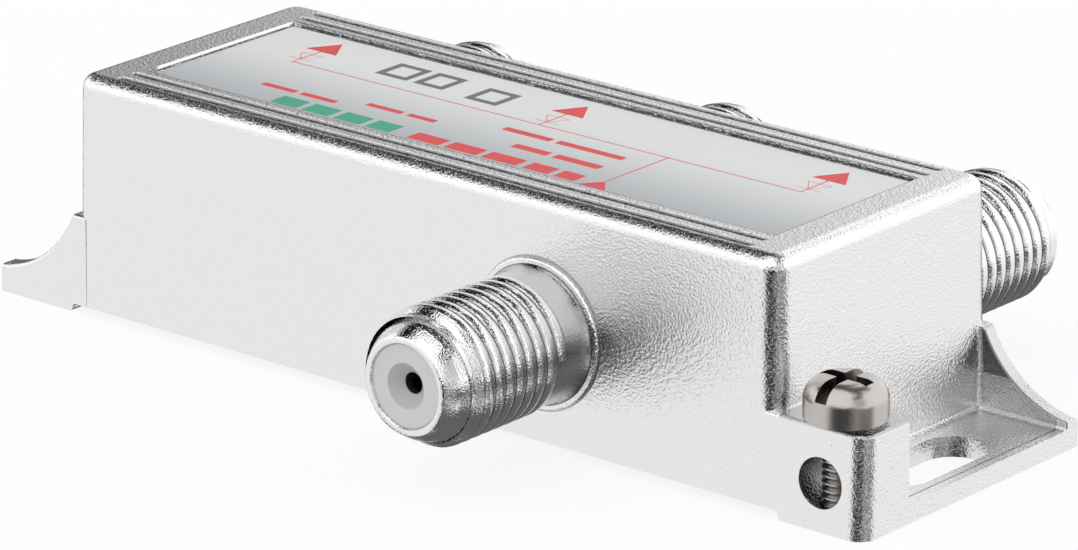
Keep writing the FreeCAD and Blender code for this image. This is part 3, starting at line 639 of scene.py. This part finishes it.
class SPLITTER_OT_sockets(Operator):
    """Plated sockets whose thread is one rounded ridge that stops short on a flat face"""

    bl_idname = "splitter.sockets"
    bl_label = "Sockets"

    def execute(self, context):
        sizes = context.scene.splitter_socket
        metal = context.scene.splitter_metal
        material, recipe = finish("bright_plating")
        grain = recipe.noise(0.11 * MM, 0.0)
        # The root attribute carries painted shade at the roots and the neck's foot, and a painted dark reflection on
        # the neck
        root = recipe.node("ShaderNodeAttribute", {"attribute_name": "root"}, out="Fac")
        recipe.surface(
            Base_Color=recipe.blend(root, tuple(metal.plating), tuple(metal.root)),
            Metallic=1.0,
            Roughness=recipe.noise(3 * MM) * 0.04 + 0.05,
            Normal=recipe.bump(grain, 0.019 * MM),
        )
        for name in PORT_NAMES:
            port = port_frame(name + "_socket")
            core, ridge = self.core(port, sizes), self.ridge(port, sizes)
            socket = piece(name + "_threaded_socket", [core[0], ridge[0]], material, "splitter")
            mark(socket, "root", [core[1], ridge[1]])
            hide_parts(name + "_socket")
        return {"FINISHED"}

    def core(self, port, sizes):
        """The turned body: a closed profile of radius over distance behind the nose, carried round the axis.

        Where the ridge stops, the profile steps up from the thread's root to the neck. That step's distance falls
        by one pitch over a full turn, as the ridge's does: step = ridge end + part of a pitch - pitch * angle / turn.
        """
        turn = np.arange(sizes.columns) / sizes.columns
        root = (sizes.ridge_radius - sizes.depth) / MM + ROOT_RISE
        step = (sizes.ridge_end + STEP_AT * sizes.pitch) / MM
        thread = (*((row, root) for row in ROOT_ROWS), (step - STEP_WIDTH, root), (step, sizes.neck_radius / MM))
        profile = np.array(NOSE_PROFILE + thread + BACK_PROFILE + REAR_PROFILE)
        moves = np.zeros(len(profile))
        moves[len(NOSE_PROFILE) + 2 : len(NOSE_PROFILE) + 4] = 1.0
        late = np.where(turn == 0.0, 1.0, turn)
        behind = profile[:, 0] * MM - late[:, None] * moves * sizes.pitch
        radius = np.broadcast_to(profile[:, 1] * MM, behind.shape)
        angle = np.broadcast_to(2 * np.pi * turn[:, None], behind.shape)
        shade_tones = (0.0,) * (len(NOSE_PROFILE) + 1) + THREAD_SHADE_TONES + BACK_SHADE_TONES + (0.0,) * len(REAR_PROFILE)
        return shell(turned(port, behind, radius, angle)), np.broadcast_to(np.array(shade_tones), behind.shape)

    def ridge(self, port, sizes):
        """The thread's ridge, carried along a helix towards the nose and capped flat at both ends.

        Across one pitch, with t from -1 to 1, its radius is the crown's less depth * |t| ** power. The nose's
        chamfer cuts it: the radius is at most the chamfer's, which rises in line with the distance behind the nose.
        """
        steps = int(sizes.turns * sizes.columns)
        turn = np.arange(steps + 1)[:, None] / sizes.columns
        t = np.linspace(-1.0, 1.0, RIDGE_POINTS)
        crown = sizes.ridge_radius - sizes.depth * np.abs(t) ** RIDGE_POWER
        foot = sizes.ridge_radius - sizes.depth - RIDGE_FOOT * MM
        t = np.concatenate([t, [1.0, -1.0]])
        radius = np.concatenate([crown, [foot, foot]])
        behind = sizes.ridge_end - sizes.pitch * turn + t * sizes.pitch / 2
        chamfer = CHAMFER_FROM[1] * MM + CHAMFER_SLOPE * (behind - CHAMFER_FROM[0] * MM)
        under = foot - CHAMFER_FOOT * MM
        radius = np.minimum(np.broadcast_to(radius, behind.shape), np.maximum(chamfer, under))
        angle = np.broadcast_to(2 * np.pi * turn, behind.shape)
        root_shade = np.abs(t) ** ROOT_SHADE_POWER * np.clip((behind / MM - ROOT_SHADE_FROM) / ROOT_SHADE_FADE, 0.0, 1.0)
        return shell(turned(port, behind, radius, angle), wrap_rows=False, capped=True), root_shade


# The bushes and contacts in the sockets


# Millimetres from the socket's axis, and greys: the bush's own, then the painted shade in its funnel and in its pin
# hole
FUNNEL_EDGE, PIN_HOLE_R = (1.5, 1.62), 0.74
BUSH_GREYS, FUNNEL_SHADE_GREY, PIN_HOLE_SHADE_GREY = (0.57, 0.61), 0.46, 0.015


class SPLITTER_OT_bushes(Operator):
    """Matt white bushes and bronze spring contacts inside the sockets"""

    bl_idname = "splitter.bushes"
    bl_label = "Bushes and contacts"

    def execute(self, context):
        for name in PORT_NAMES:
            self.bush(name)
        material, recipe = finish("spring_bronze")
        stain = recipe.noise(0.8 * MM, 3.0)
        recipe.surface(
            Base_Color=recipe.blend(stain, (0.16, 0.10, 0.05), (0.30, 0.21, 0.11)),
            Metallic=1.0,
            Roughness=stain * 0.2 + 0.2,
        )
        dress(material, *(name + "_contact" for name in PORT_NAMES))
        return {"FINISHED"}

    def bush(self, name):
        """White, with painted shade that makes it greyer in the funnel and black in the pin hole: masks of the
        distance to the socket's axis.
        """
        low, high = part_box(name + "_insulator")
        material, recipe = finish(name + "_white_plastic")
        x, _, z = recipe.parts(recipe.place())
        across, up = (x - (low.x + high.x) / 2) / MM, (z - (low.z + high.z) / 2) / MM
        away = (across * across + up * up).maths("SQRT")
        cloud = recipe.blend(recipe.noise(2 * MM, 3.0), *((grey,) * 3 for grey in BUSH_GREYS))
        # Painted shade: greyer in the funnel, and black in the pin hole below
        shade = recipe.blend(recipe.ramp(away, *FUNNEL_EDGE), (FUNNEL_SHADE_GREY,) * 3, cloud)
        recipe.surface(
            Base_Color=recipe.blend(away < PIN_HOLE_R, shade, (PIN_HOLE_SHADE_GREY,) * 3),
            Roughness=0.55,
            Normal=recipe.bump(recipe.noise(0.1 * MM), 0.003 * MM),
        )
        dress(material, name + "_insulator", name + "_rear_insulator")


# The earth screw


# Millimetres: the head's underside, the slot and the cross with their depths below the crown, where shade is painted,
# and the thread
SCREW_HEAD_Z = 7.55
SLOT_HALF, SLOT_DEPTH, CROSS_DEPTH, CROSS_REACH = 0.46, 1.12, 1.52, 1.9
SCREW_RADIUS, SCREW_PITCH, SCREW_DEPTH, SCREW_FOOT = 1.5, 0.5, 0.3, 0.1
SCREW_COLUMNS = 48
# Where the thread starts above the tip, how far it stays below the head, and the shank's reach into the head
THREAD_START, THREAD_STOP, SHANK_IN_HEAD = 0.3, 0.35, 0.3
# Points across the screw's ridge, from -1 to 1, and then the two of its foot
SCREW_RIDGE = (-1.0, -0.55, -0.18, 0.18, 0.55, 1.0, 1.0, -1.0)


class SPLITTER_OT_earth_screw(Operator):
    """Zinc-plated earth screw with its fine thread"""

    bl_idname = "splitter.earth_screw"
    bl_label = "Earth screw"

    def execute(self, context):
        metal = context.scene.splitter_metal
        material, recipe = finish("screw_plating")
        low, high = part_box("earth_screw")
        x, y, z = [axis / MM for axis in recipe.parts(recipe.place())]
        across, along = x - (low.x + high.x) / 2 / MM, y - (low.y + high.y) / 2 / MM
        below = high.z / MM - z
        # Painted shade inside the slot and the cross
        slot = (abs(across) < SLOT_HALF) * (below < SLOT_DEPTH)
        cross = (abs(along) < SLOT_HALF) * (abs(across) < CROSS_REACH) * (below < CROSS_DEPTH)
        recipe.surface(
            Base_Color=recipe.blend(slot.most(cross), tuple(metal.screw), tuple(metal.slot)),
            Metallic=1.0,
            Roughness=recipe.noise(1 * MM) * 0.08 + 0.22,
            Normal=recipe.bump(recipe.noise(0.15 * MM), 0.003 * MM),
        )
        under_head = np.array(((low.x + high.x) / 2, (low.y + high.y) / 2, SCREW_HEAD_Z * MM))
        axis = (under_head, np.array((0.0, 0.0, 1.0)), np.array((1.0, 0.0, 0.0)), np.array((0.0, 1.0, 0.0)))
        shells = [self.shank(axis, low.z), self.thread(axis, low.z), self.head()]
        screw = piece("threaded_earth_screw", shells, material, "earth_screw")
        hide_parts("earth_screw")
        return {"FINISHED"}

    def head(self):
        """The CAD screw's head: a merged copy cut off under the head, its cut closed by one face."""
        work = bmesh.new()
        work.from_mesh(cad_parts["earth_screw"].data)
        bmesh.ops.remove_doubles(work, verts=work.verts, dist=1e-7)
        cut = {"plane_co": (0, 0, SCREW_HEAD_Z * MM - 1e-6), "plane_no": (0, 0, 1), "clear_inner": True}
        bmesh.ops.bisect_plane(work, geom=work.verts[:] + work.edges[:] + work.faces[:], dist=1e-9, **cut)
        bmesh.ops.holes_fill(work, edges=[edge for edge in work.edges if edge.is_boundary], sides=0)
        bmesh.ops.recalc_face_normals(work, faces=work.faces)
        work.verts.index_update()
        points = np.array([vertex.co[:] for vertex in work.verts])
        faces = [[vertex.index for vertex in face.verts] for face in work.faces]
        work.free()
        return points, faces

    def shank(self, axis, tip):
        """The thread's core: a closed profile of radius over distance below the head, carried round the axis."""
        radius = (SCREW_RADIUS - SCREW_DEPTH) * MM
        length = SCREW_HEAD_Z * MM - tip
        start = -SHANK_IN_HEAD * MM
        profile = np.array(((start, 0.0), (start, radius), (length, radius), (length, 0.0)))
        turn = np.arange(SCREW_COLUMNS)[:, None] / SCREW_COLUMNS
        behind = np.broadcast_to(profile[:, 0], (SCREW_COLUMNS, len(profile)))
        around = np.broadcast_to(profile[:, 1], behind.shape)
        angle = np.broadcast_to(2 * np.pi * turn, behind.shape)
        return shell(turned(axis, behind, around, angle))

    def thread(self, axis, tip):
        """The thread's ridge, carried up a helix from the tip and capped at both ends.

        Across one pitch, with t from -1 to 1, its radius is the crown's less depth * (1.2 * |t| - 0.2), where that
        is above 0. A cone cuts it at the tip: the radius is at most the core's plus the distance from the tip.
        """
        crown = SCREW_RADIUS * MM
        length = SCREW_HEAD_Z * MM - tip
        pitch = SCREW_PITCH * MM
        steps = int((length - THREAD_STOP * MM) / pitch * SCREW_COLUMNS)
        turn = np.arange(steps + 1)[:, None] / SCREW_COLUMNS
        t = np.array(SCREW_RIDGE)
        foot = crown - (SCREW_DEPTH + SCREW_FOOT) * MM
        radius = crown - SCREW_DEPTH * MM * np.clip(np.abs(t) * 1.2 - 0.2, 0, 1)
        radius[-2:] = foot
        behind = length - THREAD_START * MM - pitch * turn + t * pitch / 2
        cone = crown - SCREW_DEPTH * MM + (length - behind)
        radius = np.minimum(np.broadcast_to(radius, behind.shape), np.maximum(cone, foot))
        angle = np.broadcast_to(2 * np.pi * turn, behind.shape)
        return shell(turned(axis, behind, radius, angle), wrap_rows=False, capped=True)


# The label


# Plain bars in place of words, in millimetres: left, right, low, high
RED_BARS = (
    (-4.4, -1.6, -6.9, -5.5),
    (-1.1, 1.7, -6.9, -5.5),
    (2.2, 5.2, -6.9, -5.5),
    (5.8, 8.0, -6.9, -5.5),
    (8.5, 10.3, -6.9, -5.5),
    (2.3, 5.4, -3.95, -3.15),
    (5.9, 9.9, -3.95, -3.15),
    (-0.6, 3.6, -1.45, -0.75),
    (4.1, 9.9, -1.45, -0.75),
    (-20.0, -16.9, -4.4, -3.8),
    (-16.4, -13.2, -4.4, -3.8),
    (-11.3, -8.1, -3.3, -2.7),
    (-7.6, -5.1, -3.3, -2.7),
)
TEAL_BARS = (
    (-16.9, -14.5, -6.9, -5.2),
    (-14.0, -11.6, -6.9, -5.2),
    (-11.1, -8.7, -6.9, -5.2),
    (-8.2, -6.0, -6.9, -5.2),
)
GREY_FRAMES = ((-15.7, -12.8, 2.7, 5.6), (-12.2, -9.5, 2.7, 5.6), (-7.2, -4.3, 2.3, 5.2))
GREY_LINE = 0.55
# The wiring diagram, in millimetres. An arrow is its base, its tip and half its width.
MAIN_LINE_Y = 1.0
OUTPUT_LINE_X = (-21.85, 0.68, 23.2)
INPUT_LINE_X = 12.0
OUTPUT_ARROW = (3.97, 6.3, 1.44)
INPUT_ARROW = (-7.25, -5.6, 1.25)
DIODE_BAR_Y, DIODE_BASE_Y, DIODE_HALF = 1.8, 3.12, 1.0
DIODE_LINE, DIODE_LEG = 0.09, 0.0558
DIODE_INK = 0.75
# The foil goes from one grey to the other between these, as painted shade darker towards the front edge, and has a
# painted shadow along its edges, in the gap by the recess wall
FOIL_FADE = (-9.0, 3.5)
GAP_SHADOW_WIDTH, GAP_SHADOW_GREY = 0.1, 0.12


class SPLITTER_OT_label(Operator):
    """Foil label with the printed wiring diagram and plain bars"""

    bl_idname = "splitter.label"
    bl_label = "Label"

    def execute(self, context):
        ink = context.scene.splitter_print
        material, recipe = finish("printed_foil")
        x, y, _ = recipe.parts(recipe.place())
        x, y = x / MM, y / MM
        half = ink.line / MM / 2
        thin = DIODE_LINE / 2

        def bar(left, right, low, high):
            across = abs(x - (left + right) / 2) < (right - left) / 2
            return across * (abs(y - (low + high) / 2) < (high - low) / 2)

        def frame_of(left, right, low, high):
            """An open rectangle: a bar less the smaller bar inside it."""
            line = GREY_LINE
            return bar(left, right, low, high) * (1 - bar(left + line, right - line, low + line, high - line))

        def arrow(middle, base, tip, half_base):
            """A triangle: narrower in line with the way from its base to its tip."""
            way = (y - base) / (tip - base)
            return (abs(x - middle) < (1 - way) * half_base) * (way > 0.0)

        def diode(middle):
            """A bar, and on it the outline of a triangle: two lines that run apart in line with y, and its base."""
            way = (y - DIODE_BAR_Y) / (DIODE_BASE_Y - DIODE_BAR_Y)
            legs = abs(abs(x - middle) - way * DIODE_HALF) < DIODE_LEG
            sign = legs * bar(middle - 2 * DIODE_HALF, middle + 2 * DIODE_HALF, DIODE_BAR_Y, DIODE_BASE_Y)
            for height in (DIODE_BAR_Y, DIODE_BASE_Y):
                sign = sign.most(bar(middle - DIODE_HALF, middle + DIODE_HALF, height - thin, height + thin))
            return sign

        lines = [bar(OUTPUT_LINE_X[0] - half, OUTPUT_LINE_X[-1] + half, MAIN_LINE_Y - half, MAIN_LINE_Y + half)]
        for middle in OUTPUT_LINE_X:
            lines.append(bar(middle - half, middle + half, MAIN_LINE_Y, OUTPUT_ARROW[0]))
            lines.append(arrow(middle, *OUTPUT_ARROW))
        lines.append(bar(INPUT_LINE_X - half, INPUT_LINE_X + half, INPUT_ARROW[1], MAIN_LINE_Y))
        lines.append(arrow(INPUT_LINE_X, *INPUT_ARROW))
        red = strongest(lines + [bar(*one) for one in RED_BARS])
        red = red.most(strongest([diode(middle) for middle in OUTPUT_LINE_X]) * DIODE_INK)
        # Painted shade: the foil darker towards the front edge
        foil = recipe.blend(recipe.ramp(y, *FOIL_FADE), tuple(ink.foil_front), tuple(ink.foil_back))
        # Painted shadow along the label's edges, in the gap by the recess wall
        cut = (abs(x) > LABEL_CORNER.x - GAP_SHADOW_WIDTH).most(abs(y) > LABEL_CORNER.y - GAP_SHADOW_WIDTH)
        foil = recipe.blend(cut, foil, (GAP_SHADOW_GREY,) * 3)
        colours = recipe.blend(red, foil, tuple(ink.red))
        colours = recipe.blend(strongest([bar(*one) for one in TEAL_BARS]), colours, tuple(ink.teal))
        colours = recipe.blend(strongest([frame_of(*one) for one in GREY_FRAMES]), colours, tuple(ink.grey))
        recipe.surface(
            Base_Color=colours,
            Roughness=0.45,
            Normal=recipe.bump(recipe.noise(0.15 * MM), 0.002 * MM),
        )
        dress(material, "label")
        return {"FINISHED"}


# The cover and what is inside


class SPLITTER_OT_inside(Operator):
    """Finishes of the bottom cover, the circuit board and its parts"""

    bl_idname = "splitter.inside"
    bl_label = "Cover and board"

    def execute(self, context):
        material, recipe = finish("tinned_sheet")
        x, y, z = recipe.parts(recipe.place())
        rolled = recipe.node("ShaderNodeCombineXYZ", None, {0: x * 0.04, 1: y, 2: z})
        lines = recipe.noise(0.2 * MM, 3.0, vector=rolled)
        recipe.surface(
            Base_Color=(0.72, 0.72, 0.71),
            Metallic=1.0,
            Roughness=lines * 0.15 + 0.25,
            Normal=recipe.bump(lines, 0.003 * MM),
        )
        dress(material, "bottom_cover")
        material, recipe = finish("board_lacquer")
        weave = recipe.noise(0.6 * MM)
        recipe.surface(
            Base_Color=recipe.blend(weave, (0.02, 0.12, 0.05), (0.03, 0.17, 0.07)),
            Roughness=0.35,
            Normal=recipe.bump(weave, 0.01 * MM),
        )
        dress(material, "circuit_board")
        self.speckled("ferrite_grey", "splitter_core_", 3, (0.03, 0.03, 0.032), (0.06, 0.06, 0.06), 0.7)
        self.speckled("enamelled_copper", "splitter_winding_", 3, (0.45, 0.14, 0.06), (0.6, 0.22, 0.1), 0.3, 0.9)
        self.speckled("resistor_film", "balance_resistor_", 2, (0.02, 0.02, 0.03), (0.05, 0.05, 0.06), 0.4)
        self.speckled("diode_moulding", "supply_diode_", 3, (0.015, 0.015, 0.015), (0.03, 0.03, 0.03), 0.5)
        self.speckled("wound_choke", "supply_choke_", 4, (0.10, 0.05, 0.03), (0.2, 0.09, 0.05), 0.5)
        material, recipe = finish("ceramic_tan")
        tan = recipe.blend(recipe.noise(0.3 * MM), (0.35, 0.24, 0.14), (0.45, 0.32, 0.2))
        recipe.surface(Base_Color=tan, Roughness=0.5)
        dress(material, *(name + "_capacitor" for name in PORT_NAMES))
        return {"FINISHED"}

    def speckled(self, name, stem, count, dark, pale, roughness, metallic=0.0):
        """A finish of two near colours for a numbered row of like parts."""
        material, recipe = finish(name)
        speck = recipe.noise(0.25 * MM, 3.0)
        recipe.surface(
            Base_Color=recipe.blend(speck, dark, pale),
            Metallic=metallic,
            Roughness=roughness,
            Normal=recipe.bump(speck, 0.01 * MM),
        )
        dress(material, *(stem + str(i + 1) for i in range(count)))


STEPS = (
    SPLITTER_OT_stage,
    SPLITTER_OT_casting,
    SPLITTER_OT_sockets,
    SPLITTER_OT_bushes,
    SPLITTER_OT_earth_screw,
    SPLITTER_OT_label,
    SPLITTER_OT_inside,
)
GROUPS = {
    "splitter_socket": SPLITTER_PG_socket,
    "splitter_print": SPLITTER_PG_print,
    "splitter_metal": SPLITTER_PG_metal,
    "splitter_studio": SPLITTER_PG_studio,
}


class SPLITTER_PT_panel(Panel):
    """Sizes, colours and steps of the coaxial splitter"""

    bl_label = "Coaxial splitter"
    bl_idname = "SPLITTER_PT_panel"
    bl_space_type = "VIEW_3D"
    bl_region_type = "UI"
    bl_category = "Splitter"

    def draw(self, context):
        for key, group in GROUPS.items():
            box = self.layout.box()
            for name in group.__annotations__:
                box.prop(getattr(context.scene, key), name)
        for step in STEPS:
            self.layout.operator(step.bl_idname)


CLASSES = (*GROUPS.values(), *STEPS, SPLITTER_PT_panel)


def register():
    for cls in CLASSES:
        bpy.utils.register_class(cls)
    for key, group in GROUPS.items():
        setattr(bpy.types.Scene, key, PointerProperty(type=group))


def unregister():
    for key in GROUPS:
        delattr(bpy.types.Scene, key)
    for cls in reversed(CLASSES):
        bpy.utils.unregister_class(cls)


def main():
    register()
    for step in STEPS:
        group, name = step.bl_idname.split(".")
        getattr(getattr(bpy.ops, group), name)()


if __name__ == "__main__":
    main()
